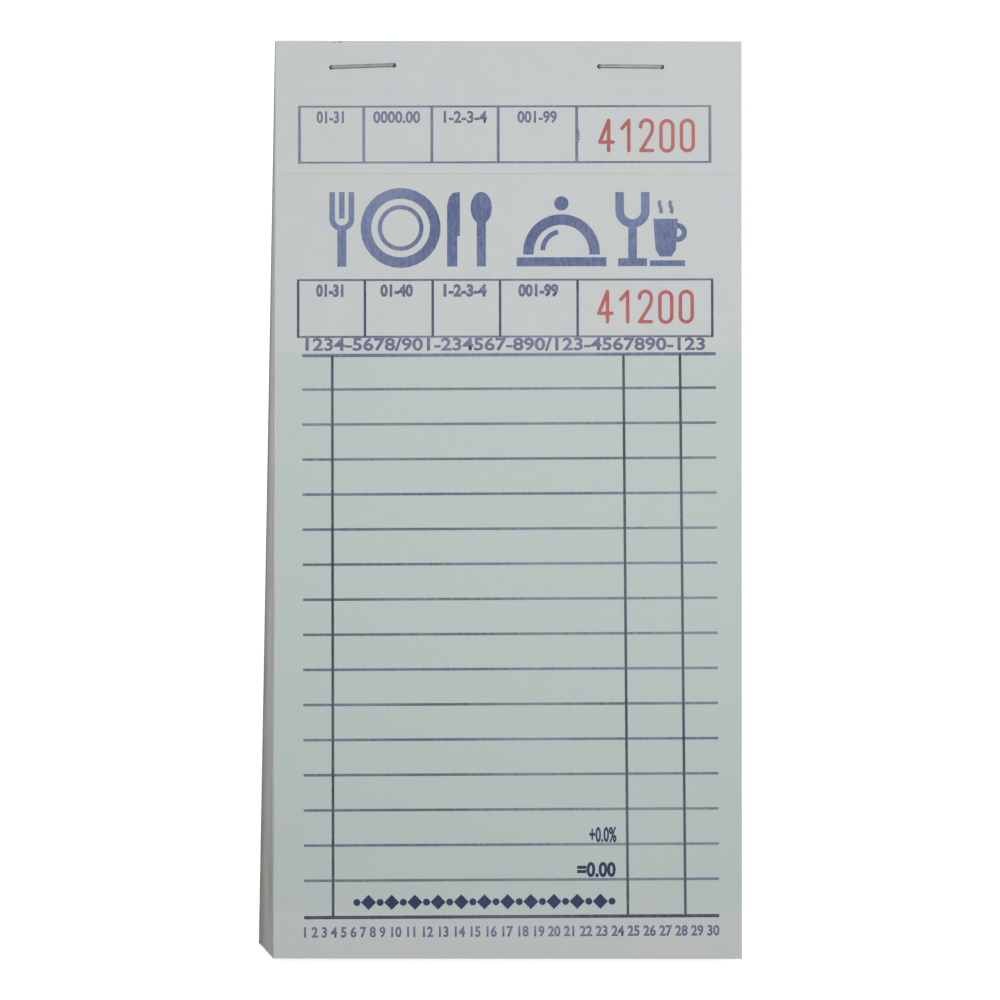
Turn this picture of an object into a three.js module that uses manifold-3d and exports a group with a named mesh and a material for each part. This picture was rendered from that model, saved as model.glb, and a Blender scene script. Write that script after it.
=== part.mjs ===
// Guest check pad: fifty perforated paper leaves stapled across the top to a chipboard back.
// X runs across the pad, Y towards the stapled end and Z up out of the printed face. Millimetres.
// The origin lies on the underside of the board, below the centre of the top leaf.

import * as THREE from "three";
import { mergeVertices } from "three/addons/utils/BufferGeometryUtils.js";
import Module from "manifold-3d";

// Leaves
const LEAF_WIDTH = 87.3;
const LEAF_LENGTH = 171.45;
const LEAF_COUNT = 50;
const PAPER = 0.08;
// Air between two neighbouring leaves, where the staples press them together and at the loose end
const PRESSED_AIR = 0.005;
const LOOSE_AIR = 0.045;
// The leaves bend along a line this far below their top edge, just clear of the staples
const MARGIN = 9;
// The running gap of the bend line and of the tear line
const BEND_GAP = 0.006;

// Perforation: a row of short cuts with paper ties between them
const PERFORATION_FROM_TOP = 24.9;
const CUT_PITCH = 2;
const CUT_LENGTH = 1.3;
const CUT_WIDTH = 0.04;

// The block was stapled a little out of square: going down from the top leaf, each leaf lies
// further to the left and towards the staples, and is turned clockwise about the staples.
// The blade leaned as it trimmed the loose end, so each leaf is also shorter there.
// These are the amounts at the lowest leaf.
const STRAY_LEFT = 0.61;
const STRAY_UP = 0.16;
const STRAY_TURN = THREE.MathUtils.degToRad(0.84);
const TRIM_LEAN = 0.35;
// No two leaves are gathered quite alike: the most that one is turned from its place in the fan
const SCATTER_TURN = THREE.MathUtils.degToRad(0.045);

// Loose leaves are gripped in groups: the top two singly, and the rest in quires
const SINGLE_LEAVES = 2;
const QUIRE_COUNT = 3;

// Board, which strays further than the lowest leaf does, by this factor
const BOARD = 0.8;
const BOARD_STRAY = 1.14;

// Staples: flattened wire, bent to a crown on top and two legs clinched inwards below
const WIRE_WIDTH = 0.6;
const WIRE_THICKNESS = 0.5;
const WIRE_EDGE = 0.08;
const CROWN = 12.2;
const BEND_RADIUS = 0.7;
const CLINCH = 4.2;
const CLINCH_POINT = 0.3;
// From the leaf's edges to the middle of each crown
const STAPLE_FROM_TOP = 4.8;
const LEFT_STAPLE_INSET = 16.3;
const RIGHT_STAPLE_INSET = 20.8;
// Neither staple went in quite level: each one's tilt is in degrees
const STAPLES = [
  { name: "staple_left", x: LEFT_STAPLE_INSET - LEAF_WIDTH / 2, tilt: 2 },
  { name: "staple_right", x: LEAF_WIDTH / 2 - RIGHT_STAPLE_INSET, tilt: -0.4 },
];
// Between the crown and the top leaf, and round the wire where it lies in the board
const CROWN_SEAT = 0.02;
const GROOVE_CLEARANCE = 0.03;
// How far the clinched legs lie below the face of the board's back
const CLINCH_RECESS = 0.02;
const LEG_HOLE_RADIUS = 0.45;
const HOLE_SIDES = 10;

// Places and heights that follow from the sizes above
const TOP_EDGE = LEAF_LENGTH / 2;
const BEND_LINE = TOP_EDGE - MARGIN;
const TEAR_LINE = TOP_EDGE - PERFORATION_FROM_TOP;
const STAPLE_LINE = TOP_EDGE - STAPLE_FROM_TOP;
const LOOSE_LENGTH = LEAF_LENGTH - MARGIN;
const PRESSED_PITCH = PAPER + PRESSED_AIR;
const PAD_TOP = BOARD + LEAF_COUNT * PRESSED_PITCH;
const FAN_CENTRE = new THREE.Vector2(0, STAPLE_LINE);
// Height of a cutter that stands about the board's underside and passes right through the pad
const THROUGH = 4 * PAD_TOP;

const paper = new THREE.MeshStandardMaterial({ color: 0xeceeed, roughness: 0.85 });
const chipboard = new THREE.MeshStandardMaterial({ color: 0x8b8d89, roughness: 0.95 });
const steel = new THREE.MeshStandardMaterial({ color: 0x9a9c9e, roughness: 0.35, metalness: 1 });

const wasm = await Module();
wasm.setup();

// A closed geometry as a solid that can be cut, and back again
function toSolid(geometry) {
  const bare = geometry.clone();
  bare.deleteAttribute("normal");
  bare.deleteAttribute("uv");
  const merged = mergeVertices(bare, 1e-5);
  return new wasm.Manifold(
    new wasm.Mesh({
      numProp: 3,
      vertProperties: new Float32Array(merged.attributes.position.array),
      triVerts: new Uint32Array(merged.index.array),
    }),
  );
}

function toGeometry(solid) {
  const mesh = solid.getMesh();
  const geometry = new THREE.BufferGeometry();
  geometry.setAttribute("position", new THREE.BufferAttribute(mesh.vertProperties, 3));
  geometry.setIndex(new THREE.BufferAttribute(mesh.triVerts, 1));
  geometry.computeVertexNormals();
  return geometry;
}

// A repeatable number from -1 to 1 for a leaf, in place of chance
function scatter(leaf) {
  const wave = Math.sin(leaf * 12.9898) * 43758.5453;
  return 2 * (wave - Math.floor(wave)) - 1;
}

// Where a sheet lies: share is 0 for the top leaf and 1 for the lowest one
function strayOf(share, extraTurn = 0) {
  return {
    shift: new THREE.Vector2(-STRAY_LEFT * share, STRAY_UP * share),
    turn: -STRAY_TURN * share + extraTurn,
    trim: TRIM_LEAN * share,
  };
}

function strayOfLeaf(leaf) {
  const share = (leaf - 1) / (LEAF_COUNT - 1);
  return strayOf(share, leaf === 1 ? 0 : SCATTER_TURN * scatter(leaf));
}

// A point of the sheet, given as if the sheet lay square under the top leaf, and no lower
// than where it was trimmed
function placed(stray, x, y) {
  const trimmed = Math.max(y, stray.trim - TOP_EDGE);
  return new THREE.Vector2(x, trimmed).rotateAround(FAN_CENTRE, stray.turn).add(stray.shift);
}

// Where the sheet's left (-1) or right (1) edge crosses a line across the pad
function edgeCrossing(stray, side, y) {
  const upper = placed(stray, (side * LEAF_WIDTH) / 2, TOP_EDGE);
  const lower = placed(stray, (side * LEAF_WIDTH) / 2, -TOP_EDGE);
  return upper.lerp(lower, (upper.y - y) / (upper.y - lower.y));
}

// Middles of the perforation's cuts, measured across the leaf
function cutPlaces() {
  const count = Math.floor(LEAF_WIDTH / CUT_PITCH);
  return Array.from({ length: count }, (_, i) => (i - (count - 1) / 2) * CUT_PITCH);
}

function cutOutline(stray, x) {
  const halfLength = CUT_LENGTH / 2;
  const halfWidth = CUT_WIDTH / 2;
  return new THREE.Path([
    placed(stray, x - halfLength, TEAR_LINE - halfWidth),
    placed(stray, x - halfLength, TEAR_LINE + halfWidth),
    placed(stray, x + halfLength, TEAR_LINE + halfWidth),
    placed(stray, x + halfLength, TEAR_LINE - halfWidth),
  ]);
}

// One side of the tear line from left to right: 1 is the stub's side and -1 the check's
function tearEdge(stray, side) {
  const tie = TEAR_LINE + (side * BEND_GAP) / 2;
  const cut = TEAR_LINE + (side * CUT_WIDTH) / 2;
  const points = [placed(stray, -LEAF_WIDTH / 2, tie)];
  for (const x of cutPlaces()) {
    points.push(placed(stray, x - CUT_LENGTH / 2, tie));
    points.push(placed(stray, x - CUT_LENGTH / 2, cut));
    points.push(placed(stray, x + CUT_LENGTH / 2, cut));
    points.push(placed(stray, x + CUT_LENGTH / 2, tie));
  }
  points.push(placed(stray, LEAF_WIDTH / 2, tie));
  return points;
}

// The loose part of a leaf rises evenly from the bend line, because the block is thicker
// where nothing presses it together
function sheetAtLevel(leaf, shape) {
  const sheetsBelow = LEAF_COUNT - leaf;
  const level = BOARD + PRESSED_AIR + sheetsBelow * PRESSED_PITCH;
  const slope = ((sheetsBelow + 1) * (LOOSE_AIR - PRESSED_AIR)) / LOOSE_LENGTH;
  const geometry = new THREE.ExtrudeGeometry(shape, { depth: PAPER, bevelEnabled: false });
  const rise = new THREE.Matrix4().set(
    1, 0, 0, 0,
    0, 1, 0, 0,
    0, -slope, 1, level + slope * BEND_LINE,
    0, 0, 0, 1,
  );
  return geometry.applyMatrix4(rise);
}

function looseLeaf(leaf, perforated) {
  const stray = strayOfLeaf(leaf);
  const bend = BEND_LINE - BEND_GAP / 2;
  const shape = new THREE.Shape([
    edgeCrossing(stray, -1, bend),
    placed(stray, -LEAF_WIDTH / 2, -TOP_EDGE),
    placed(stray, LEAF_WIDTH / 2, -TOP_EDGE),
    edgeCrossing(stray, 1, bend),
  ]);
  if (perforated) {
    shape.holes = cutPlaces().map((x) => cutOutline(stray, x));
  }
  return sheetAtLevel(leaf, shape);
}

// The top leaf in its two parts, which bend and tear apart along the perforation
function stub() {
  const stray = strayOfLeaf(1);
  const bend = BEND_LINE - BEND_GAP / 2;
  const shape = new THREE.Shape([
    edgeCrossing(stray, -1, bend),
    ...tearEdge(stray, 1),
    edgeCrossing(stray, 1, bend),
  ]);
  return sheetAtLevel(1, shape);
}

function check() {
  const stray = strayOfLeaf(1);
  const shape = new THREE.Shape([
    placed(stray, -LEAF_WIDTH / 2, -TOP_EDGE),
    placed(stray, LEAF_WIDTH / 2, -TOP_EDGE),
    ...tearEdge(stray, -1).reverse(),
  ]);
  return sheetAtLevel(1, shape);
}

// A block of sheets from one height to another, its sides leaning with the fan
function fannedBlock(lowest, highest, strayBelow, strayAbove) {
  const depth = highest - lowest;
  const rectangle = new THREE.Shape([
    new THREE.Vector2(-LEAF_WIDTH / 2, -TOP_EDGE),
    new THREE.Vector2(LEAF_WIDTH / 2, -TOP_EDGE),
    new THREE.Vector2(LEAF_WIDTH / 2, TOP_EDGE),
    new THREE.Vector2(-LEAF_WIDTH / 2, TOP_EDGE),
  ]);
  const geometry = new THREE.ExtrudeGeometry(rectangle, { depth, bevelEnabled: false });
  const corners = geometry.attributes.position;
  for (let i = 0; i < corners.count; i += 1) {
    const stray = corners.getZ(i) < depth / 2 ? strayBelow : strayAbove;
    const point = placed(stray, corners.getX(i), corners.getY(i));
    corners.setXY(i, point.x, point.y);
  }
  return toSolid(geometry.translate(0, 0, lowest));
}

function box(sizeX, sizeY, sizeZ, x, y, z) {
  return new THREE.BoxGeometry(sizeX, sizeY, sizeZ).translate(x, y, z);
}

// The turn and place of a staple, for the staple itself and for all that is cut to fit it
function stapleMatrix(staple) {
  const tilt = THREE.MathUtils.degToRad(staple.tilt);
  return new THREE.Matrix4().makeRotationZ(tilt).setPosition(staple.x, STAPLE_LINE, 0);
}

// Leg holes right through everything
function cutLegHoles(solid) {
  let result = solid;
  for (const staple of STAPLES) {
    for (const side of [-1, 1]) {
      const hole = new THREE.CylinderGeometry(LEG_HOLE_RADIUS, LEG_HOLE_RADIUS, THROUGH, HOLE_SIDES)
        .rotateX(Math.PI / 2)
        .translate((side * (CROWN - WIRE_THICKNESS)) / 2, 0, 0)
        .applyMatrix4(stapleMatrix(staple));
      result = result.subtract(toSolid(hole));
    }
  }
  return result;
}

// The stapled margin of some neighbouring leaves, pressed to one block
function boundEdge(firstLeaf, lastLeaf) {
  const lowest = BOARD + PRESSED_AIR + (LEAF_COUNT - lastLeaf) * PRESSED_PITCH;
  const highest = BOARD + (LEAF_COUNT - firstLeaf + 1) * PRESSED_PITCH;
  const block = fannedBlock(lowest, highest, strayOfLeaf(lastLeaf), strayOfLeaf(firstLeaf));
  const below = BEND_LINE + BEND_GAP / 2;
  const loosePart = toSolid(
    box(2 * LEAF_WIDTH, 2 * LEAF_LENGTH, THROUGH, 0, below - LEAF_LENGTH, 0),
  );
  return toGeometry(cutLegHoles(block.subtract(loosePart)));
}

// Grooves that the clinched legs have pressed into the board's back
function cutGrooves(board) {
  const depth = 2 * (WIRE_THICKNESS + CLINCH_RECESS + GROOVE_CLEARANCE);
  const width = WIRE_WIDTH + 2 * GROOVE_CLEARANCE;
  const length = CLINCH + 2 * GROOVE_CLEARANCE;
  const middle = CROWN / 2 + GROOVE_CLEARANCE - length / 2;
  let result = board;
  for (const staple of STAPLES) {
    for (const side of [-1, 1]) {
      const groove = box(length, width, depth, side * middle, 0, 0);
      result = result.subtract(toSolid(groove.applyMatrix4(stapleMatrix(staple))));
    }
  }
  return result;
}

function backingBoard() {
  const stray = strayOf(BOARD_STRAY);
  return toGeometry(cutGrooves(cutLegHoles(fannedBlock(0, BOARD, stray, stray))));
}

// A staple seen from its side, as one closed outline of bent wire
function stapleOutline() {
  const half = CROWN / 2;
  const inner = BEND_RADIUS - WIRE_THICKNESS;
  const low = CLINCH_RECESS;
  const high = PAD_TOP + CROWN_SEAT + WIRE_THICKNESS;
  const tip = half - CLINCH;
  const bend = half - BEND_RADIUS;
  const lowBend = low + BEND_RADIUS;
  const highBend = high - BEND_RADIUS;
  const quarter = Math.PI / 2;
  const shape = new THREE.Shape();
  shape.moveTo(tip, low);
  shape.lineTo(bend, low);
  shape.absarc(bend, lowBend, BEND_RADIUS, -quarter, 0, false);
  shape.absarc(bend, highBend, BEND_RADIUS, 0, quarter, false);
  shape.absarc(-bend, highBend, BEND_RADIUS, quarter, 2 * quarter, false);
  shape.absarc(-bend, lowBend, BEND_RADIUS, 2 * quarter, 3 * quarter, false);
  shape.lineTo(-tip, low);
  shape.lineTo(-tip - CLINCH_POINT, low + WIRE_THICKNESS);
  shape.absarc(-bend, lowBend, inner, 3 * quarter, 2 * quarter, true);
  shape.absarc(-bend, highBend, inner, 2 * quarter, quarter, true);
  shape.absarc(bend, highBend, inner, quarter, 0, true);
  shape.absarc(bend, lowBend, inner, 0, -quarter, true);
  shape.lineTo(tip + CLINCH_POINT, low + WIRE_THICKNESS);
  return shape;
}

function staple() {
  const geometry = new THREE.ExtrudeGeometry(stapleOutline(), {
    depth: WIRE_WIDTH - 2 * WIRE_EDGE,
    curveSegments: 4,
    bevelThickness: WIRE_EDGE,
    bevelSize: WIRE_EDGE,
    bevelOffset: -WIRE_EDGE,
    bevelSegments: 1,
  });
  return geometry.rotateX(Math.PI / 2).translate(0, WIRE_WIDTH / 2 - WIRE_EDGE, 0);
}

const pad = new THREE.Group();

function add(name, geometry, material, parent = pad) {
  const mesh = new THREE.Mesh(geometry, material);
  mesh.name = name;
  parent.add(mesh);
}

add("backing_board", backingBoard(), chipboard);

for (const { name, x, tilt } of STAPLES) {
  const seat = new THREE.Group();
  seat.position.set(x, STAPLE_LINE, 0);
  seat.rotation.z = THREE.MathUtils.degToRad(tilt);
  pad.add(seat);
  add(name, staple(), steel, seat);
}

const twoDigits = (leaf) => String(leaf).padStart(2, "0");

add("bound_edge_01", boundEdge(1, 1), paper);
add("stub_01", stub(), paper);
add("check_01", check(), paper);

for (let leaf = 2; leaf <= SINGLE_LEAVES; leaf += 1) {
  add("bound_edge_" + twoDigits(leaf), boundEdge(leaf, leaf), paper);
  add("leaf_" + twoDigits(leaf), looseLeaf(leaf, true), paper);
}

const quireSize = Math.ceil((LEAF_COUNT - SINGLE_LEAVES) / QUIRE_COUNT);
for (let quire = 1; quire <= QUIRE_COUNT; quire += 1) {
  const first = SINGLE_LEAVES + 1 + (quire - 1) * quireSize;
  const last = Math.min(first + quireSize - 1, LEAF_COUNT);
  add("bound_edge_quire_" + quire, boundEdge(first, last), paper);
  for (let leaf = first; leaf <= last; leaf += 1) {
    add("leaf_" + twoDigits(leaf), looseLeaf(leaf, leaf === first), paper);
  }
}

export default pad;
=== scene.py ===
# Looks of the guest check pad: printed bond paper, grey chipboard and galvanised staples.
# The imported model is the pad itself. This script finishes its surfaces, lays the ink on its
# leaves, and bends the staples' wire more finely. The scene is in metres; sizes here are in
# millimetres.

import math

import bmesh
import bpy
from mathutils import Matrix, Vector


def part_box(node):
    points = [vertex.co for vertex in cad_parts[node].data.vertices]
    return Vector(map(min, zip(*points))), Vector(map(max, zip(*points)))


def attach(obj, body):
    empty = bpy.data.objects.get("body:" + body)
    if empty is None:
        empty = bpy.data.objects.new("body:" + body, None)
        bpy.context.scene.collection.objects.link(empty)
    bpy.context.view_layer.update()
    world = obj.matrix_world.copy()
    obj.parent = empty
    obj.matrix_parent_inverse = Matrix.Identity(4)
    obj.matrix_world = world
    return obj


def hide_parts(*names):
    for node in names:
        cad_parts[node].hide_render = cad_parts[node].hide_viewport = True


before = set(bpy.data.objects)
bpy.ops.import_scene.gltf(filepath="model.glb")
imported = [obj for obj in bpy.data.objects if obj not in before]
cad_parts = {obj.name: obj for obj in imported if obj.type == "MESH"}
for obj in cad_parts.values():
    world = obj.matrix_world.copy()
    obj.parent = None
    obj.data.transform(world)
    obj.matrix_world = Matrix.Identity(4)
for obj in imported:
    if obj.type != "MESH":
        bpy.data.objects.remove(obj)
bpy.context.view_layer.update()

MM = 0.001


# Camera and light

# Fitted to the four corners of the top leaf and the lower corners of the fanned block
CAMERA_PLACE = Vector((-1.81, -0.41, 369.23)) * MM
CAMERA_TARGET = Vector((-1.52, -0.27, 0)) * MM
CAMERA_ROLL = math.radians(0.069)
LENS = 70
SENSOR = 36
# The room's light from level and from overhead, and the heights between which it changes, as the
# sine of the angle above the table
ROOM_LIGHT_LEVEL = 0.42
ROOM_LIGHT_OVERHEAD = 0.07
LEVEL = 0.25
OVERHEAD = 0.6
LAMP_PLACE = Vector((35, 72, 350)) * MM
LAMP_ACROSS = 400
LAMP_ALONG = 300
LAMP_WATTS = 1.315


def place_camera():
    """The camera, almost straight above the pad, with the stapled end at the top of the picture."""
    data = bpy.data.cameras.new("camera")
    data.lens = LENS
    data.sensor_width = SENSOR
    camera = bpy.data.objects.new("camera", data)
    bpy.context.scene.collection.objects.link(camera)
    back = (CAMERA_PLACE - CAMERA_TARGET).normalized()
    right = Vector((0, 1, 0)).cross(back).normalized()
    axes = Matrix((right, back.cross(right), back)).transposed().to_4x4()
    roll = Matrix.Rotation(CAMERA_ROLL, 4, "Z")
    camera.matrix_world = Matrix.Translation(CAMERA_PLACE) @ axes @ roll
    bpy.context.scene.camera = camera


def light_studio():
    """A dim white room, lighter around than overhead, and one soft lamp over the stapled end, so
    that the loose end is dimmer. To the camera and in the staples the room is plain white."""
    world = bpy.data.worlds.new("white_room")
    world.use_nodes = True
    tree = world.node_tree
    background = tree.nodes["Background"]
    background.inputs["Color"].default_value = (1, 1, 1, 1)
    up = add_node(tree, "SeparateXYZ", {0: add_node(tree, "TexCoord", {}, "Generated")}, "Z")
    inputs = {"Value": up, "From Min": LEVEL, "From Max": OVERHEAD, "To Min": ROOM_LIGHT_LEVEL,
              "To Max": ROOM_LIGHT_OVERHEAD}
    room = add_node(tree, "MapRange", inputs)
    tree.links.new(seen_as(tree, room, 1.0), background.inputs["Strength"])
    bpy.context.scene.world = world
    lamp = bpy.data.lights.new("soft_lamp", "AREA")
    lamp.shape = "RECTANGLE"
    lamp.size = LAMP_ACROSS * MM
    lamp.size_y = LAMP_ALONG * MM
    lamp.energy = LAMP_WATTS
    holder = bpy.data.objects.new("soft_lamp", lamp)
    bpy.context.scene.collection.objects.link(holder)
    holder.location = LAMP_PLACE


def seen_as(tree, plain, seen):
    """A strength with one value as light on things, and another to the camera and in mirrors."""
    camera = add_node(tree, "LightPath", {}, "Is Camera Ray")
    mirror = add_node(tree, "LightPath", {}, "Is Glossy Ray")
    either = add_node(tree, "Math", {0: camera, 1: mirror}, operation="MAXIMUM")
    return add_node(tree, "MapRange", {"Value": either, "To Min": plain, "To Max": seen})


# Materials

def linear(colour):
    """An sRGB hex colour as the linear colour that a shader socket takes."""
    parts = [int(colour[i:i + 2], 16) / 255 for i in (0, 2, 4)]
    return [p / 12.92 if p <= 0.04045 else ((p + 0.055) / 1.055) ** 2.4 for p in parts] + [1.0]


def add_node(tree, kind, inputs, out=0, **settings):
    """Add a shader node and return one of its outputs. An input is a constant or such an output."""
    node = tree.nodes.new("ShaderNode" + kind)
    for name, value in settings.items():
        setattr(node, name, value)
    for name, value in inputs.items():
        if isinstance(value, bpy.types.NodeSocket):
            tree.links.new(value, node.inputs[name])
        else:
            node.inputs[name].default_value = value
    return node.outputs[out]


def new_material(name, roughness, specular):
    """A material, its shader, and the piece's own coordinates in millimetres."""
    material = bpy.data.materials.new(name)
    material.use_nodes = True
    tree = material.node_tree
    shader = tree.nodes["Principled BSDF"]
    shader.inputs["Roughness"].default_value = roughness
    shader.inputs["Specular IOR Level"].default_value = specular
    place = add_node(tree, "TexCoord", {}, "Object")
    scale = (1 / MM, 1 / MM, 1 / MM)
    return material, tree, shader, add_node(tree, "Mapping", {"Vector": place, "Scale": scale})


BOND_WHITE = linear("c9cdcc")
BOND_CLOUD = linear("c6cbcd")
BOND_WARM = linear("c9ccc9")
GREEN_TINT = linear("c0cac5")
GREEN_CLOUD = linear("bfcac8")
# The tinted band, down from the leaf's top edge, how far its border strays, and how far on either
# side of its foot it fades out
TINT_TOP = 58.5
TINT_BOTTOM = 162.2
TINT_RAGGED = 0.15
TINT_FADE = 1.8
# Cut sides, grey with painted shade: darker near the board and towards the loose end, and they
# differ a little from sheet to sheet. The streaks are in cycles to the millimetre
CUT_SHADED = linear("9c9f9a")
CUT_LESS_SHADED = linear("cfcfcc")
SHADE_LOW = 0.8
SHADE_HIGH = 2.6
SHADED_END = -85
LESS_SHADED_END = 60
SHEET_STREAKS = (0.04, 0.04, 5)
# Along its left edge, this far in, a face takes the cut sides' painted shade, where the sheet
# above shades it
SHADED_RIM = 0.14
# Across the fibre clouds of the sheet, its slow drift of shade, its tooth and its waves
CLOUD = 5
DRIFT = 17
TOOTH = 0.22
COCKLE = 30


def bond_paper(name, form=None):
    """Uncoated bond paper, cut from the web: faint clouds where its fibres lie thicker, a fine
    tooth, a slight cockle, and grey cut sides with painted shade, darker near the board and
    towards the loose end. Where a form is given, its upper face carries a pale green tint from
    side to side, which gives way along the left edge to the cut sides' painted shade."""
    material, tree, shader, place = new_material(name, 0.9, 0.25)
    inputs = {"Vector": place, "Scale": 1 / CLOUD, "Detail": 4, "Roughness": 0.6}
    cloud = add_node(tree, "TexNoise", inputs)
    cloud = add_node(tree, "MapRange", {"Value": cloud, "From Min": 0.38, "From Max": 0.62})
    drift = add_node(tree, "TexNoise", {"Vector": place, "Scale": 1 / DRIFT, "Detail": 2})
    inputs = {"Value": drift, "From Min": 0.4, "From Max": 0.6, "To Max": 0.6}
    drift = add_node(tree, "MapRange", inputs)
    colour = add_node(tree, "MixRGB", {"Fac": cloud, "Color1": BOND_WHITE, "Color2": BOND_CLOUD})
    colour = add_node(tree, "MixRGB", {"Fac": drift, "Color1": colour, "Color2": BOND_WARM})
    normal = add_node(tree, "TexCoord", {}, "Normal")
    upward = add_node(tree, "SeparateXYZ", {0: normal}, "Z")
    flat = add_node(tree, "Math", {0: upward}, operation="ABSOLUTE")
    # The cut sides, which stand on edge, carry painted shade
    painted_shade_mask = add_node(tree, "MapRange", {"Value": flat, "From Min": 0.6, "From Max": 0.4})
    if form is not None:
        shift, turn, scale = form.inverted().decompose()
        raw = add_node(tree, "TexCoord", {}, "Object")
        inputs = {"Vector": raw, "Location": shift, "Rotation": turn.to_euler(), "Scale": scale}
        spot = add_node(tree, "Mapping", inputs)
        across = add_node(tree, "SeparateXYZ", {0: spot}, "X")
        # A strip along the face's left edge, which the sheet above shades, takes the same painted
        # shade
        inputs = {"Value": across, "From Min": SHADED_RIM, "From Max": SHADED_RIM / 2}
        roll = add_node(tree, "MapRange", inputs)
        painted_shade_mask = add_node(tree, "Math", {0: painted_shade_mask, 1: roll}, operation="MAXIMUM")
        up = add_node(tree, "SeparateXYZ", {0: spot}, "Y")
        fray = add_node(tree, "TexNoise", {"Vector": place, "Scale": 2.0})
        inputs = {"Value": fray, "To Min": -TINT_RAGGED, "To Max": TINT_RAGGED}
        fray = add_node(tree, "MapRange", inputs)
        up = add_node(tree, "Math", {0: up, 1: fray}, operation="ADD")
        inputs = {
            "Value": up, "From Min": TINT_RAGGED - TINT_TOP, "From Max": -TINT_RAGGED - TINT_TOP,
        }
        band = add_node(tree, "MapRange", inputs)
        inputs = {
            "Value": up, "From Min": -TINT_FADE - TINT_BOTTOM, "From Max": TINT_FADE - TINT_BOTTOM,
        }
        foot = add_node(tree, "MapRange", inputs, interpolation_type="SMOOTHSTEP")
        band = add_node(tree, "Math", {0: band, 1: foot}, operation="MULTIPLY")
        face = add_node(tree, "MapRange", {"Value": upward, "From Min": 0.4, "From Max": 0.6})
        band = add_node(tree, "Math", {0: band, 1: face}, operation="MULTIPLY")
        tint = add_node(tree, "MixRGB", {"Fac": cloud, "Color1": GREEN_TINT, "Color2": GREEN_CLOUD})
        colour = add_node(tree, "MixRGB", {"Fac": band, "Color1": colour, "Color2": tint})
    # The painted shade is darker down towards the board and towards the loose end, and its streaks
    # differ from sheet to sheet
    height = add_node(tree, "SeparateXYZ", {0: place}, "Z")
    inputs = {"Value": height, "From Min": SHADE_LOW, "From Max": SHADE_HIGH, "To Max": 0.5}
    less_shaded = add_node(tree, "MapRange", inputs)
    along = add_node(tree, "SeparateXYZ", {0: place}, "Y")
    inputs = {"Value": along, "From Min": SHADED_END, "From Max": LESS_SHADED_END, "To Max": 0.45}
    less_shaded_along = add_node(tree, "MapRange", inputs)
    less_shaded = add_node(tree, "Math", {0: less_shaded, 1: less_shaded_along}, operation="ADD")
    sheets = add_node(tree, "Mapping", {"Vector": place, "Scale": SHEET_STREAKS})
    sheets = add_node(tree, "TexNoise", {"Vector": sheets, "Scale": 1.0, "Detail": 2})
    inputs = {"Value": sheets, "From Min": 0.4, "From Max": 0.6, "To Min": -0.2, "To Max": 0.2}
    sheets = add_node(tree, "MapRange", inputs)
    less_shaded = add_node(tree, "Math", {0: less_shaded, 1: sheets}, operation="ADD")
    side = add_node(tree, "MixRGB", {"Fac": less_shaded, "Color1": CUT_SHADED, "Color2": CUT_LESS_SHADED})
    colour = add_node(tree, "MixRGB", {"Fac": painted_shade_mask, "Color1": colour, "Color2": side})
    tree.links.new(colour, shader.inputs["Base Color"])
    inputs = {"Vector": place, "Scale": 1 / TOOTH, "Detail": 4, "Roughness": 0.7}
    tooth = add_node(tree, "TexNoise", inputs)
    wave = add_node(tree, "TexNoise", {"Vector": place, "Scale": 1 / COCKLE, "Detail": 1})
    relief = add_node(tree, "Math", {0: wave, 1: 12.0, 2: tooth}, operation="MULTIPLY_ADD")
    relief = add_node(tree, "Bump", {"Height": relief, "Distance": 0.012 * MM})
    tree.links.new(relief, shader.inputs["Normal"])
    return material


PULP_GREY = linear("999b96")
PULP_DARK = linear("8c8e89")
PULP_CLOUD = 3
# Flecks of fibre, each kind with its size and colour
FLECKS = ((0.45, linear("666864")), (0.7, linear("b2b3ac")))
PRESSED_GRAIN = 0.35


def grey_chipboard(name):
    """Chipboard pressed from waste paper: a clouded grey with darker and lighter flecks of fibre,
    and a rough, dull face."""
    material, tree, shader, place = new_material(name, 0.93, 0.2)
    inputs = {"Vector": place, "Scale": 1 / PULP_CLOUD, "Detail": 5, "Roughness": 0.65}
    pulp = add_node(tree, "TexNoise", inputs)
    pulp = add_node(tree, "MapRange", {"Value": pulp, "From Min": 0.35, "From Max": 0.65})
    colour = add_node(tree, "MixRGB", {"Fac": pulp, "Color1": PULP_GREY, "Color2": PULP_DARK})
    for size, shade in FLECKS:
        fleck = add_node(tree, "TexNoise", {"Vector": place, "Scale": 1 / size, "Detail": 2})
        inputs = {"Value": fleck, "From Min": 0.66, "From Max": 0.73, "To Max": 0.6}
        fleck = add_node(tree, "MapRange", inputs)
        colour = add_node(tree, "MixRGB", {"Fac": fleck, "Color1": colour, "Color2": shade})
    tree.links.new(colour, shader.inputs["Base Color"])
    inputs = {"Vector": place, "Scale": 1 / PRESSED_GRAIN, "Detail": 4, "Roughness": 0.7}
    rough = add_node(tree, "TexNoise", inputs)
    relief = add_node(tree, "Bump", {"Height": rough, "Distance": 0.03 * MM})
    tree.links.new(relief, shader.inputs["Normal"])
    return material


ZINC = linear("7a7e7a")
ZINC_DULL = linear("6b6f6c")
ZINC_CLOUD = 2.5
# The lines that drawing leaves are this far apart, and drawn out along the wire
DRAWN_LINE = 0.05
DRAWN_OUT = 0.08


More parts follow.
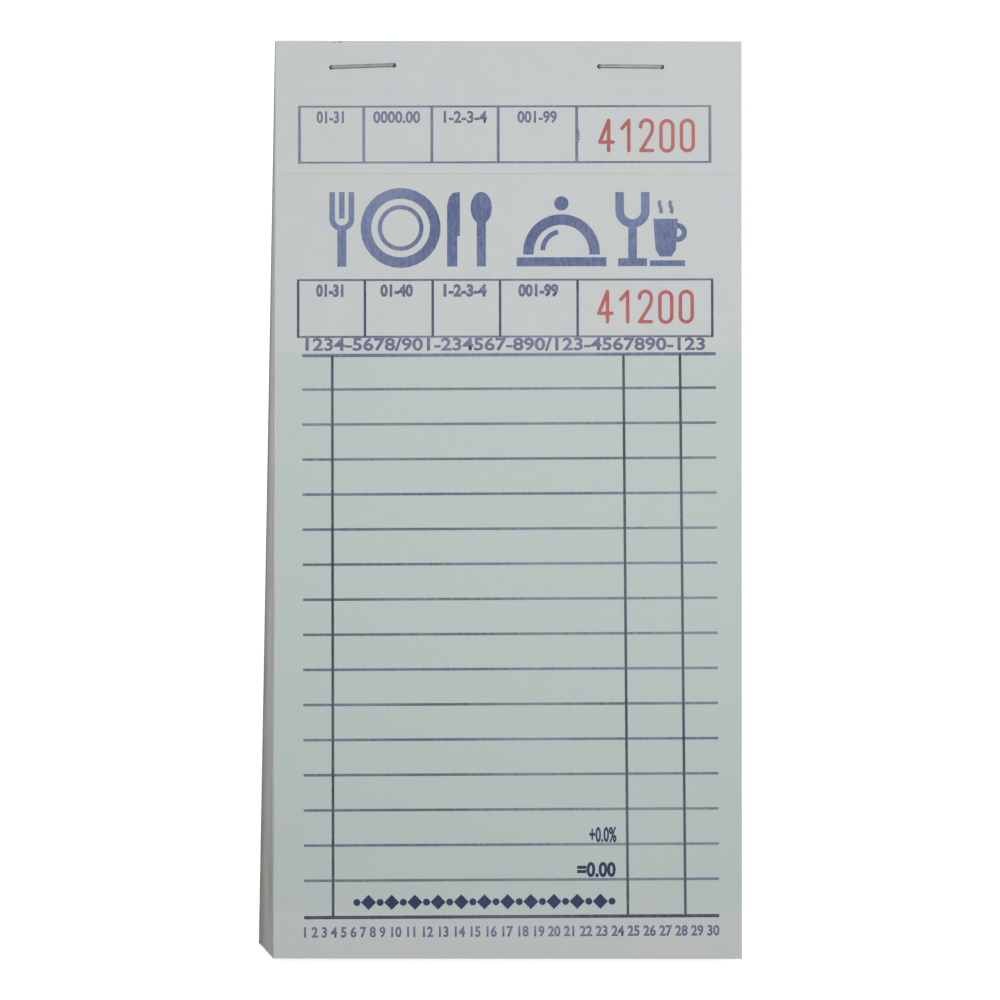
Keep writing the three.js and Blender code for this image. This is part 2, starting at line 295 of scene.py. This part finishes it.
def galvanised_wire(name):
    """Drawn steel wire with a dull zinc coat: cloudy grey metal with fine lines along the wire."""
    material, tree, shader, place = new_material(name, 0.6, 0.5)
    shader.inputs["Metallic"].default_value = 1.0
    zinc = add_node(tree, "TexNoise", {"Vector": place, "Scale": 1 / ZINC_CLOUD, "Detail": 3})
    zinc = add_node(tree, "MapRange", {"Value": zinc, "From Min": 0.35, "From Max": 0.65})
    colour = add_node(tree, "MixRGB", {"Fac": zinc, "Color1": ZINC, "Color2": ZINC_DULL})
    tree.links.new(colour, shader.inputs["Base Color"])
    along = add_node(tree, "Mapping", {"Vector": place, "Scale": (DRAWN_OUT, 1, 1)})
    drawn = add_node(tree, "TexNoise", {"Vector": along, "Scale": 1 / DRAWN_LINE, "Detail": 2})
    relief = add_node(tree, "Bump", {"Height": drawn, "Distance": 0.004 * MM})
    tree.links.new(relief, shader.inputs["Normal"])
    return material


# Across the streaks of the ink, and its slow change over the sheet
INK_STREAK = 1.3
INK_DRIFT = 24


def printed_ink(name, full, thin, bare):
    """Flexographic ink on uncoated paper: dull, and laid down unevenly, so it thins out in soft
    streaks and the paper's tooth shows through. Bare is how much of the paper shows at most."""
    material, tree, shader, place = new_material(name, 0.75, 0.3)
    streaks = add_node(tree, "Mapping", {"Vector": place, "Scale": (2.2, 0.8, 1)})
    inputs = {"Vector": streaks, "Scale": 1 / INK_STREAK, "Detail": 5, "Roughness": 0.7}
    lay = add_node(tree, "TexNoise", inputs)
    slow = add_node(tree, "TexNoise", {"Vector": place, "Scale": 1 / INK_DRIFT, "Detail": 1})
    lay = add_node(tree, "Math", {0: lay, 1: slow}, operation="ADD")
    lay = add_node(tree, "MapRange", {"Value": lay, "From Min": 0.8, "From Max": 1.2})
    colour = add_node(tree, "MixRGB", {"Fac": lay, "Color1": linear(full), "Color2": linear(thin)})
    inputs = {"Vector": place, "Scale": 1 / TOOTH, "Detail": 4, "Roughness": 0.7}
    tooth = add_node(tree, "TexNoise", inputs)
    inputs = {"Value": tooth, "From Min": 0.5, "From Max": 0.75, "To Max": bare}
    gaps = add_node(tree, "MapRange", inputs)
    colour = add_node(tree, "MixRGB", {"Fac": gaps, "Color1": colour, "Color2": BOND_WHITE})
    tree.links.new(colour, shader.inputs["Base Color"])
    relief = add_node(tree, "Bump", {"Height": tooth, "Distance": 0.008 * MM})
    tree.links.new(relief, shader.inputs["Normal"])
    return material


# A glow seen only by the camera and in the staples, so that the table looks white except where the
# pad shades it: its strength near the pad, and far out where the lamp doesn't reach
NEAR_GLOW = 0.6
FAR_GLOW = 1.0
NEAR = 150
FAR = 500
TABLE_WHITE = linear("f2f2f2")
TABLE_BRIGHT = linear("f6f6f6")
TABLE_CLOUD = 40


def matt_table(name):
    """A matt white table top, which the eye sees as pure white except where the pad shades it."""
    material, tree, shader, place = new_material(name, 1.0, 0.0)
    paint = add_node(tree, "TexNoise", {"Vector": place, "Scale": 1 / TABLE_CLOUD, "Detail": 2})
    inputs = {"Fac": paint, "Color1": TABLE_WHITE, "Color2": TABLE_BRIGHT}
    colour = add_node(tree, "MixRGB", inputs)
    tree.links.new(colour, shader.inputs["Base Color"])
    shader.inputs["Emission Color"].default_value = (1, 1, 1, 1)
    reach = add_node(tree, "VectorMath", {0: place}, "Value", operation="LENGTH")
    inputs = {
        "Value": reach, "From Min": NEAR, "From Max": FAR, "To Min": NEAR_GLOW, "To Max": FAR_GLOW,
    }
    glow = add_node(tree, "MapRange", inputs)
    tree.links.new(seen_as(tree, 0.0, glow), shader.inputs["Emission Strength"])
    return material


# Print

# Ink stands this far off the paper. Strokes that cross or touch lie on layers this far apart:
# a caller names the layer of a long rule, and other shapes take the layers above in turn.
INK_FOOT = 0.003
INK_LAYER = 0.001
INK_HEIGHT = 0.005
FREE_LAYERS = range(2, 9)
ARC_STEP = 12
# Height of a figure in the built-in type, at size 1
TYPE_HEIGHT = 0.7


# The inks of the blue form: the light rules and the darker lines of its boxes, its small figures,
# and the rules and columns of its table, where the tint shows through
RULE_INK, LINE_INK, TYPE_INK, TABLE_RULE_INK, TABLE_LINE_INK = range(5)


class Plate:
    """Shapes of ink in the form's millimetres: right of, and down from, the leaf's top left corner.
    A shape takes the ink that is set when it is made."""

    def __init__(self):
        self.bm = bmesh.new()
        self.shapes = 0
        self.ink = 0

    def thicken(self, faces, layer=None):
        """Give flat faces the height of ink."""
        if layer is None:
            layer = FREE_LAYERS[self.shapes % len(FREE_LAYERS)]
            self.shapes += 1
        verts = list({vert for face in faces for vert in face.verts})
        foot = INK_FOOT + layer * INK_LAYER
        bmesh.ops.translate(self.bm, verts=verts, vec=(0, 0, foot))
        grown = bmesh.ops.extrude_face_region(self.bm, geom=faces)["geom"]
        upper = [item for item in grown if isinstance(item, bmesh.types.BMVert)]
        bmesh.ops.translate(self.bm, verts=upper, vec=(0, 0, INK_HEIGHT))
        for vert in verts + upper:
            for face in vert.link_faces:
                face.material_index = self.ink

    def stroke(self, width, start, heading, *moves, layer=None):
        """A ribbon of ink that starts at a heading in degrees, 0 to the right and 90 up the page.
        A move is a length straight on, or a radius with the degrees of a turn, left if positive."""
        bm = self.bm
        known = set(bm.faces)
        place = Vector((start[0], -start[1], 0))
        angle = math.radians(heading)
        side = Vector((-math.sin(angle), math.cos(angle), 0))
        ends = [bm.verts.new(place + side * width / 2), bm.verts.new(place - side * width / 2)]
        edge = bm.edges.new(ends)
        for move in moves:
            side = Vector((-math.sin(angle), math.cos(angle), 0))
            if isinstance(move, tuple):
                radius, turn = move
                centre = place + side * math.copysign(radius, turn)
                sweep = math.radians(turn)
                made = bmesh.ops.spin(
                    bm, geom=ends + [edge], cent=centre, axis=(0, 0, 1), angle=sweep,
                    steps=max(2, round(abs(turn) / ARC_STEP)), use_merge=abs(turn) == 360,
                )["geom_last"]
                place = centre + Matrix.Rotation(sweep, 3, "Z") @ (place - centre)
                angle += sweep
            else:
                step = Vector((math.cos(angle), math.sin(angle), 0)) * move
                made = bmesh.ops.extrude_edge_only(bm, edges=[edge])["geom"]
                fresh = [item for item in made if isinstance(item, bmesh.types.BMVert)]
                bmesh.ops.translate(bm, verts=fresh, vec=step)
                place = place + step
            ends = [item for item in made if isinstance(item, bmesh.types.BMVert)]
            edge = next((item for item in made if isinstance(item, bmesh.types.BMEdge)), None)
        faces = [face for face in bm.faces if face not in known]
        verts = list({vert for face in faces for vert in face.verts})
        bmesh.ops.remove_doubles(bm, verts=verts, dist=0.001)
        self.thicken([face for face in bm.faces if face not in known], layer)
        return place.x, -place.y

    def pen(self, width, start, heading, *moves):
        """A stroke with round ends."""
        end = self.stroke(width, start, heading, *moves)
        for centre in (start, end):
            self.spot(centre, width / 2, sides=12)

    def rule(self, width, start, end, layer=None):
        """A straight printed line between two points."""
        run = Vector((end[0] - start[0], start[1] - end[1]))
        self.stroke(width, start, math.degrees(math.atan2(run.y, run.x)), run.length, layer=layer)

    def spot(self, centre, radius, stretch=1.0, sides=24):
        """A round or oval spot; stretch is its height over its width."""
        place = Matrix.Translation((centre[0], -centre[1], 0)) @ Matrix.Diagonal((1, stretch, 1, 1))
        made = bmesh.ops.create_circle(
            self.bm, cap_ends=True, segments=sides, radius=radius, matrix=place
        )["verts"]
        self.thicken(list({face for vert in made for face in vert.link_faces}))

    def patch(self, points):
        """A filled outline."""
        self.thicken([self.bm.faces.new([self.bm.verts.new((x, -y, 0)) for x, y in points])])

    def figures(self, text, left, right, base, height, weight=0.0):
        """Plain figures on a base line, set to fill a width, and made bolder by a weight."""
        curve = bpy.data.curves.new("figures", "FONT")
        curve.body = text
        curve.resolution_u = 3
        curve.offset = weight
        setting = bpy.data.objects.new("figures", curve)
        bpy.context.scene.collection.objects.link(setting)
        bpy.context.view_layer.update()
        ready = setting.evaluated_get(bpy.context.evaluated_depsgraph_get())
        flat = bpy.data.meshes.new_from_object(ready)
        bpy.data.objects.remove(setting)
        known = set(self.bm.verts)
        self.bm.from_mesh(flat)
        verts = [vert for vert in self.bm.verts if vert not in known]
        start = min(vert.co.x for vert in verts)
        reach = max(vert.co.x for vert in verts) - start
        across = (right - left) / reach
        up = height / TYPE_HEIGHT
        bmesh.ops.translate(self.bm, verts=verts, vec=(-start, 0, 0))
        bmesh.ops.scale(self.bm, verts=verts, vec=(across, up, 1))
        bmesh.ops.translate(self.bm, verts=verts, vec=(left, -base, 0))
        self.thicken(list({face for vert in verts for face in vert.link_faces}))

    def lay(self, name, form, body, inks):
        """Put the ink on a leaf, as a piece that moves with the leaf's body."""
        bmesh.ops.recalc_face_normals(self.bm, faces=self.bm.faces)
        mesh = bpy.data.meshes.new(name)
        self.bm.to_mesh(mesh)
        mesh.transform(form)
        for ink in inks:
            mesh.materials.append(ink)
        piece = bpy.data.objects.new(name, mesh)
        bpy.context.scene.collection.objects.link(piece)
        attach(piece, body)


# The captions of the boxes: how tall, and how far below the top of a box they stand
CAPTION_HEIGHT = 2.1
CAPTION_DROP = 3.0


def box_row(plate, columns, top, bottom, long, short, captions, weight):
    """A row of boxes, with a caption of small figures at the top of each but the last. The long
    rules and the short ones each have an ink and a width."""
    overlap = short[1] / 2
    plate.ink = long[0]
    for line in (top, bottom):
        plate.rule(long[1], (columns[0] - overlap, line), (columns[-1] + overlap, line), layer=0)
    plate.ink = short[0]
    for column in columns:
        plate.rule(short[1], (column, top), (column, bottom), layer=1)
    plate.ink = TYPE_INK
    for text, left, right in captions:
        plate.figures(text, left, right, top + CAPTION_DROP, CAPTION_HEIGHT, weight)


def stub_plate():
    """The row of boxes on the part that tears off."""
    plate = Plate()
    captions = (
        ("01-31", 8.0, 13.1), ("0000.00", 18.6, 27.4), ("1-2-3-4", 31.8, 39.9),
        ("001-99", 45.6, 53.0),
    )
    columns = (4.78, 16.83, 29.58, 42.0, 56.69, 81.64)
    box_row(
        plate, columns, top=12.28, bottom=22.77, long=(RULE_INK, 0.38), short=(RULE_INK, 0.54),
        captions=captions, weight=0.03,
    )
    return plate


def heading_plate():
    """The second row of boxes, with a line of figures under it."""
    plate = Plate()
    captions = (
        ("01-31", 7.9, 13.0), ("01-40", 19.9, 26.0), ("1-2-3-4", 31.7, 39.8),
        ("001-99", 45.7, 53.2),
    )
    columns = (4.52, 17.01, 29.69, 42.29, 56.79, 81.97)
    box_row(
        plate, columns, top=44.8, bottom=55.44, long=(RULE_INK, 0.4), short=(LINE_INK, 0.47),
        captions=captions, weight=0.05,
    )
    plate.figures(
        "1234-5678/901-234567-890/123-4567890-123", left=5.9, right=80.6, base=57.95, height=2.25,
        weight=0.025,
    )
    return plate


TABLE_LEFT = 5.38
TABLE_RIGHT = 82.75
TABLE_TOP = 58.84
TABLE_BOTTOM = 163.63
# Each column's rule at the table's top and bottom: they lean a little
TABLE_COLUMNS = ((11.05, 10.8), (65.49, 65.72), (76.06, 76.44))
FIRST_RULE = 65.18
RULE_PITCH = 6.543
RULE_COUNT = 15
THIN_RULE = 0.5
COLUMN_RULE = 0.5
HEAVY_RULE = 0.62
# The numbers in the margin: where they stand, and how tall and how bold they are
COUNT_BASE = 167.25
COUNT_HEIGHT = 1.85
COUNT_WEIGHT = 0.03


def table_plate():
    """The ruled table, and a row of small plain numbers in the margin under it."""
    plate = Plate()
    plate.ink = RULE_INK
    plate.rule(HEAVY_RULE, (TABLE_LEFT, TABLE_TOP), (TABLE_RIGHT, TABLE_TOP), layer=0)
    plate.ink = TABLE_RULE_INK
    for i in range(RULE_COUNT):
        line = FIRST_RULE + i * RULE_PITCH
        plate.rule(THIN_RULE, (TABLE_LEFT, line), (TABLE_RIGHT, line), layer=0)
    plate.ink = LINE_INK
    plate.rule(HEAVY_RULE, (TABLE_LEFT, TABLE_BOTTOM), (TABLE_RIGHT, TABLE_BOTTOM), layer=0)
    plate.ink = TABLE_LINE_INK
    for upper, lower in TABLE_COLUMNS:
        plate.rule(COLUMN_RULE, (upper, TABLE_TOP), (lower, TABLE_BOTTOM), layer=1)
    plate.ink = TYPE_INK
    count = " ".join(str(i) for i in range(1, 31))
    plate.figures(count, TABLE_LEFT, TABLE_RIGHT, COUNT_BASE, COUNT_HEIGHT, COUNT_WEIGHT)
    return plate


# The row of diamonds and dots: its middle, how many marks stand on each side of it, and their
# pitch and radii
ORNAMENT_CENTRE = (39.0, 160.85)
ORNAMENT_SIDE = 11
ORNAMENT_PITCH = 2.16
DOT = 0.66
DIAMOND = 1.42


def total_plate():
    """The bolder marks at the foot of the table: a rate, a sum, and a row of diamonds and dots."""
    plate = Plate()
    plate.figures("+0.0%", left=58.6, right=63.7, base=149.75, height=2.65, weight=0.03)
    plate.figures("=0.00", left=56.3, right=63.5, base=156.2, height=2.55, weight=0.04)
    for i in range(-ORNAMENT_SIDE, ORNAMENT_SIDE + 1):
        centre = (ORNAMENT_CENTRE[0] + ORNAMENT_PITCH * i, ORNAMENT_CENTRE[1])
        if i % 2:
            plate.spot(centre, DOT, sides=16)
        else:
            plate.spot(centre, DIAMOND, sides=4)
    return plate


def tableware_plate():
    """A row of tableware: fork, plate, knife and spoon, then a covered dish, a glass and a cup."""
    plate = Plate()
    top, foot = 28.3, 42.3
    # Fork
    for x in (10.9, 12.7, 14.5):
        plate.rule(1.05, (x, top), (x, top + 5.0), layer=0)
    plate.stroke(1.05, (10.9, top + 5.0), -90, (1.8, 180), layer=1)
    plate.rule(1.7, (12.7, top + 6.6), (12.7, foot))

    # Plate
    middle = 35.05
    plate.stroke(2.0, (23.7, middle + 6.5), 0, (6.5, 360))
    plate.stroke(0.8, (23.7, middle + 3.9), 0, (3.9, 360))

    # Knife
    plate.patch([
        (34.3, foot), (32.4, foot), (32.4, top + 2.6), (32.8, top + 1.0), (33.5, top + 0.2),
        (34.8, top), (34.8, top + 8.2), (34.3, top + 8.4),
    ])

    # Spoon
    plate.spot((38.8, top + 3.0), 2.0, stretch=1.5)
    plate.rule(1.7, (38.8, top + 5.4), (38.8, foot))

    # Covered dish
    plate.rule(1.7, (45.4, foot - 0.85), (62.2, foot - 0.85), layer=0)
    plate.stroke(2.0, (60.0, foot - 2.2), 90, 0.4, (6.2, 180), 0.4)
    plate.stroke(0.9, (50.3, foot - 3.0), 90, (3.5, -80))
    plate.spot((53.8, top + 2.2), 1.35)

    # Glass
    plate.stroke(1.6, (64.7, top + 0.1), -90, 3.5, (2.4, 180), 3.5)
    plate.rule(1.6, (67.1, top + 6.4), (67.1, foot - 1.0))
    plate.rule(1.5, (64.4, foot - 0.75), (69.8, foot - 0.75))

    # Cup and saucer, with steam
    plate.patch([
        (71.0, 33.4), (75.6, 33.4), (75.2, 39.2), (74.4, 40.5), (72.2, 40.5), (71.4, 39.2),
    ])
    plate.stroke(1.0, (75.2, 34.7), 0, 0.3, (1.3, -180), 0.5)
    plate.rule(1.1, (70.3, foot - 0.55), (76.9, foot - 0.55))
    for x in (72.3, 74.3):
        plate.stroke(0.7, (x, 32.4), 60, (1.2, 60), (1.2, -60))
    return plate


# The numbering machine's wheels: how far apart, how large, and how unevenly they strike
WHEEL_PITCH = 3.82
WHEEL_DROP = (0.0, 0.02, -0.02, 0.09, 0.03)
FIGURE_WIDTH = 2.2
FIGURE_HEIGHT = 5.7
FIGURE_STROKE = 0.66


def wheel_figure(plate, figure, centre, foot):
    """One figure of the numbering machine, drawn with an even, round-ended stroke."""
    half = FIGURE_WIDTH / 2
    left, right, top = centre - half, centre + half, foot - FIGURE_HEIGHT
    waist = top + FIGURE_HEIGHT / 2
    flank = FIGURE_HEIGHT / 2 - FIGURE_WIDTH
    lines = {
        "0": [((left, foot - half), 90, FIGURE_HEIGHT - 2 * half, (half, -180),
               FIGURE_HEIGHT - 2 * half, (half, -180))],
        "1": [((centre + 0.5, foot), 90, FIGURE_HEIGHT), ((centre + 0.5, top), -130, 2.0)],
        "2": [((left, top + half + 0.2), 90, 0.2, (half, -180), 0.35, (2.6, -22)),
              ((left, foot), 0, FIGURE_WIDTH)],
        "3": [((left, top + half), 90, (half, -180), flank, (half, -90)),
              ((centre, waist), 0, (half, -90), flank, (half, -180))],
        "4": [((centre + 0.55, top), -90, FIGURE_HEIGHT),
              ((left, foot - 1.6), 0, FIGURE_WIDTH + 0.25)],
        "8": [((left, top + half), 90, (half, -180), flank, (half, -180), flank),
              ((left, foot - half), 90, flank, (half, -180), flank, (half, -180))],
    }
    for start, heading, *moves in lines[figure]:
        plate.pen(FIGURE_STROKE, start, heading, *moves)
    if figure == "2":
        plate.rule(FIGURE_STROKE, (right - 0.2, top + half + 1.45), (left + 0.05, foot))
    if figure == "4":
        plate.rule(FIGURE_STROKE, (centre + 0.55, top), (left, foot - 1.6))


def number_plate(number, first, foot):
    """The leaf's number, from the place of its first figure's middle and foot."""
    plate = Plate()
    for i, figure in enumerate(str(number)):
        wheel_figure(plate, figure, first + i * WHEEL_PITCH, foot + WHEEL_DROP[i])
    return plate


# The form was printed a little out of square: its boxes are turned by one angle about the middle
# of the table, and the table itself by another
BOXES_TURN = math.radians(0.18)
TABLE_TURN = math.radians(0.36)
PRINT_CENTRE = Vector((43.65, -110.0, 0))


def upper_corner(node, side_x, side_y):
    """The corner of a sheet's upper face that lies furthest out on the given sides, -1 or 1."""
    places = [vert.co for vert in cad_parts[node].data.vertices]
    return max(places, key=lambda p: (round(side_x * p.x + side_y * p.y, 6), p.z)).copy()


def form_on(leaf, margin, turn):
    """From the form's millimetres, with y up from the top edge, to the upper face of a leaf."""
    low_left = upper_corner(leaf, -1, -1)
    low_right = upper_corner(leaf, 1, -1)
    bend_left = upper_corner(leaf, -1, 1)
    top_left = upper_corner(margin, -1, 1)
    right = (low_right - low_left).normalized()
    up = (bend_left - low_left).normalized()
    out = right.cross(up).normalized()
    origin = bend_left + up * ((top_left - bend_left).xy.length / up.xy.length)
    axes = Matrix((right, up, out)).transposed().to_4x4()
    square = Matrix.Translation(origin) @ axes @ Matrix.Scale(MM, 4)
    about = Matrix.Translation(PRINT_CENTRE)
    return square @ about @ Matrix.Rotation(turn, 4, "Z") @ about.inverted()


FIRST_NUMBER = 41200
STUB_NUMBER_PLACE = (62.13, 20.62)
CHECK_NUMBER_PLACE = (61.83, 52.72)
# Smears of ink beside the stub's last column, as centre and size
SMEARS = (
    (56.95, 16.4, 0.14), (57.0, 16.9, 0.2), (57.1, 17.4, 0.24), (57.05, 17.9, 0.2),
    (57.1, 18.4, 0.22), (56.95, 18.9, 0.16),
)


# Small grey marks at the pad's top edge, in the same way
EDGE_MARKS = (
    (10.85, 0.42, 0.1), (11.05, 0.26, 0.11), (11.55, 0.3, 0.09), (12.0, 0.22, 0.16),
    (12.2, 0.34, 0.1),
)


def print_leaves():
    """The leaves that a lifted part of the block lets be seen: the top two, and the first of each
    quire. Each quire's lower leaves share the paper of its first."""
    blue_inks = [
        printed_ink("blue_flexo_ink_rules", "5f657b", "80879a", 0.2),
        printed_ink("blue_flexo_ink_lines", "353c55", "555d76", 0.2),
        printed_ink("blue_flexo_ink_figures", "656d89", "78809c", 0.15),
        printed_ink("blue_flexo_ink_over_tint_rules", "5c6576", "848c9c", 0.2),
        printed_ink("blue_flexo_ink_over_tint_lines", "2f3748", "545c6d", 0.2),
    ]
    solid_inks = [printed_ink("blue_flexo_ink_solids", "525f85", "7682a4", 0.3)]
    navy_inks = [printed_ink("navy_flexo_ink_bold", "222b4c", "323c5e", 0.12)]
    red_inks = [printed_ink("red_numbering_ink", "ad5553", "b96e6c", 0.15)]
    marks = Plate()
    for x, y, size in EDGE_MARKS:
        marks.spot((x, y), size, sides=7)
    marks.lay("edge_marks", form_on("bound_edge_01", "bound_edge_01", 0), "binding", blue_inks)
    groups = (
        (1, 1, "check_01", "bound_edge_01", "top_check"),
        (2, 2, "leaf_02", "bound_edge_02", "second_leaf"),
        (3, 18, "leaf_03", "bound_edge_quire_1", "quire_1"),
        (19, 34, "leaf_19", "bound_edge_quire_2", "quire_2"),
        (35, 50, "leaf_35", "bound_edge_quire_3", "quire_3"),
    )
    for leaf, last, node, margin, body in groups:
        boxes = form_on(node, margin, BOXES_TURN)
        table = form_on(node, margin, TABLE_TURN)
        tag = "%02d" % leaf
        stub_body = "top_stub" if leaf == 1 else body
        number = FIRST_NUMBER + leaf - 1
        stub = stub_plate()
        if leaf == 1:
            for x, y, size in SMEARS:
                stub.spot((x, y), size, sides=7)
        stub.lay("stub_boxes_" + tag, boxes, stub_body, blue_inks)
        stub_number = number_plate(number, *STUB_NUMBER_PLACE)
        stub_number.lay("stub_number_" + tag, boxes, stub_body, red_inks)
        tableware_plate().lay("check_tableware_" + tag, boxes, body, solid_inks)
        heading_plate().lay("check_boxes_" + tag, boxes, body, blue_inks)
        check_number = number_plate(number, *CHECK_NUMBER_PLACE)
        check_number.lay("check_number_" + tag, boxes, body, red_inks)
        table_plate().lay("check_table_" + tag, table, body, blue_inks)
        total_plate().lay("check_totals_" + tag, table, body, navy_inks)
        paper = bond_paper("bond_paper_green_tint_" + tag, form_on(node, margin, 0))
        finish([node] + ["leaf_%02d" % i for i in range(leaf + 1, last + 1)], paper)


def finish(nodes, material):
    """Give CAD nodes a material."""
    for node in nodes:
        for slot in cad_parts[node].material_slots:
            slot.material = material


# Staples

CROWN = 12.2
WIRE_WIDTH = 0.6
WIRE_THICKNESS = 0.5
BEND_RADIUS = 0.7
CLINCH = 4.2
CLINCH_POINT = 0.3
WIRE_SIDES = 20
WIRE_SQUARENESS = 0.35
BEND_STEPS = 10


def staple_place(node):
    """From a staple's own millimetres, with x along its crown and z up, to its place in the pad."""
    places = [vert.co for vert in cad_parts[node].data.vertices]
    low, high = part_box(node)
    middle = (low + high) / 2
    ends = []
    for side in (-1, 1):
        half = [p for p in places if side * (p.x - middle.x) > 0]
        ends.append(sum(half, Vector()) / len(half))
    run = ends[1] - ends[0]
    turn = Matrix.Rotation(math.atan2(run.y, run.x), 4, "Z")
    return Matrix.Translation((middle.x, middle.y, low.z)) @ turn @ Matrix.Scale(MM, 4)


def bend_staple(name, node, material):
    """Flattened wire swept along the clinched ends, the legs and the crown, with chisel points."""
    low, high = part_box(node)
    height = (high.z - low.z) / MM
    half = CROWN / 2
    bm = bmesh.new()
    section = bmesh.ops.create_circle(bm, cap_ends=True, segments=WIRE_SIDES, radius=1)["verts"]
    for vert in section:
        x, y = vert.co.x, vert.co.y
        vert.co = (
            CLINCH - half,
            math.copysign(abs(x) ** WIRE_SQUARENESS, x) * WIRE_WIDTH / 2,
            math.copysign(abs(y) ** WIRE_SQUARENESS, y) * WIRE_THICKNESS / 2 + WIRE_THICKNESS / 2,
        )
    first_end = list(section)
    ring = list({edge for vert in section for edge in vert.link_edges})
    run = Vector((-1, 0, 0))
    place = Vector((CLINCH - half, 0, WIRE_THICKNESS / 2))
    leg = height - 2 * BEND_RADIUS
    inner = CLINCH - BEND_RADIUS
    axle = BEND_RADIUS - WIRE_THICKNESS / 2
    quarter = Matrix.Rotation(math.pi / 2, 3, "Y")
    straights = (inner, leg, CROWN - 2 * BEND_RADIUS, leg, inner)
    for i, length in enumerate(straights):
        made = bmesh.ops.extrude_edge_only(bm, edges=ring)["geom"]
        verts = [item for item in made if isinstance(item, bmesh.types.BMVert)]
        bmesh.ops.translate(bm, verts=verts, vec=run * length)
        place = place + run * length
        ring = [item for item in made if isinstance(item, bmesh.types.BMEdge)
                and all(vert in verts for vert in item.verts)]
        if i == len(straights) - 1:
            break
        centre = place + quarter @ run * axle
        made = bmesh.ops.spin(
            bm, geom=verts + ring, cent=centre, axis=(0, 1, 0), angle=math.pi / 2, steps=BEND_STEPS
        )["geom_last"]
        verts = [item for item in made if isinstance(item, bmesh.types.BMVert)]
        ring = [item for item in made if isinstance(item, bmesh.types.BMEdge)]
        place = centre + quarter @ (place - centre)
        run = quarter @ run
    bmesh.ops.contextual_create(bm, geom=ring)
    for side, end in ((-1, first_end), (1, verts)):
        for vert in end:
            vert.co.x += side * CLINCH_POINT * vert.co.z / WIRE_THICKNESS
    bmesh.ops.recalc_face_normals(bm, faces=bm.faces)
    for face in bm.faces:
        face.smooth = len(face.verts) == 4
    mesh = bpy.data.meshes.new(name)
    bm.to_mesh(mesh)
    mesh.transform(staple_place(node))
    mesh.materials.append(material)
    piece = bpy.data.objects.new(name, mesh)
    bpy.context.scene.collection.objects.link(piece)
    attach(piece, "binding")
    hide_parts(node)


# Half the table's side, and its gap below the pad
TABLE_REACH = 2000
TABLE_GAP = 0.05


def lay_table():
    """The table under the pad."""
    bm = bmesh.new()
    bmesh.ops.create_grid(bm, x_segments=1, y_segments=1, size=TABLE_REACH * MM)
    mesh = bpy.data.meshes.new("table")
    bm.to_mesh(mesh)
    mesh.transform(Matrix.Translation((0, 0, -TABLE_GAP * MM)))
    mesh.materials.append(matt_table("matt_white_table"))
    table = bpy.data.objects.new("table", mesh)
    bpy.context.scene.collection.objects.link(table)


place_camera()
light_studio()
lay_table()
margins = [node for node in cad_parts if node.startswith("bound_edge")]
finish(margins + ["stub_01"], bond_paper("bond_paper_white"))
finish(["backing_board"], grey_chipboard("grey_chipboard"))
zinc_wire = galvanised_wire("galvanised_drawn_wire")
finish(["staple_left", "staple_right"], zinc_wire)
bend_staple("staple_wire_left", "staple_left", zinc_wire)
bend_staple("staple_wire_right", "staple_right", zinc_wire)
print_leaves()

bpy.context.scene.view_settings.view_transform = "Standard"
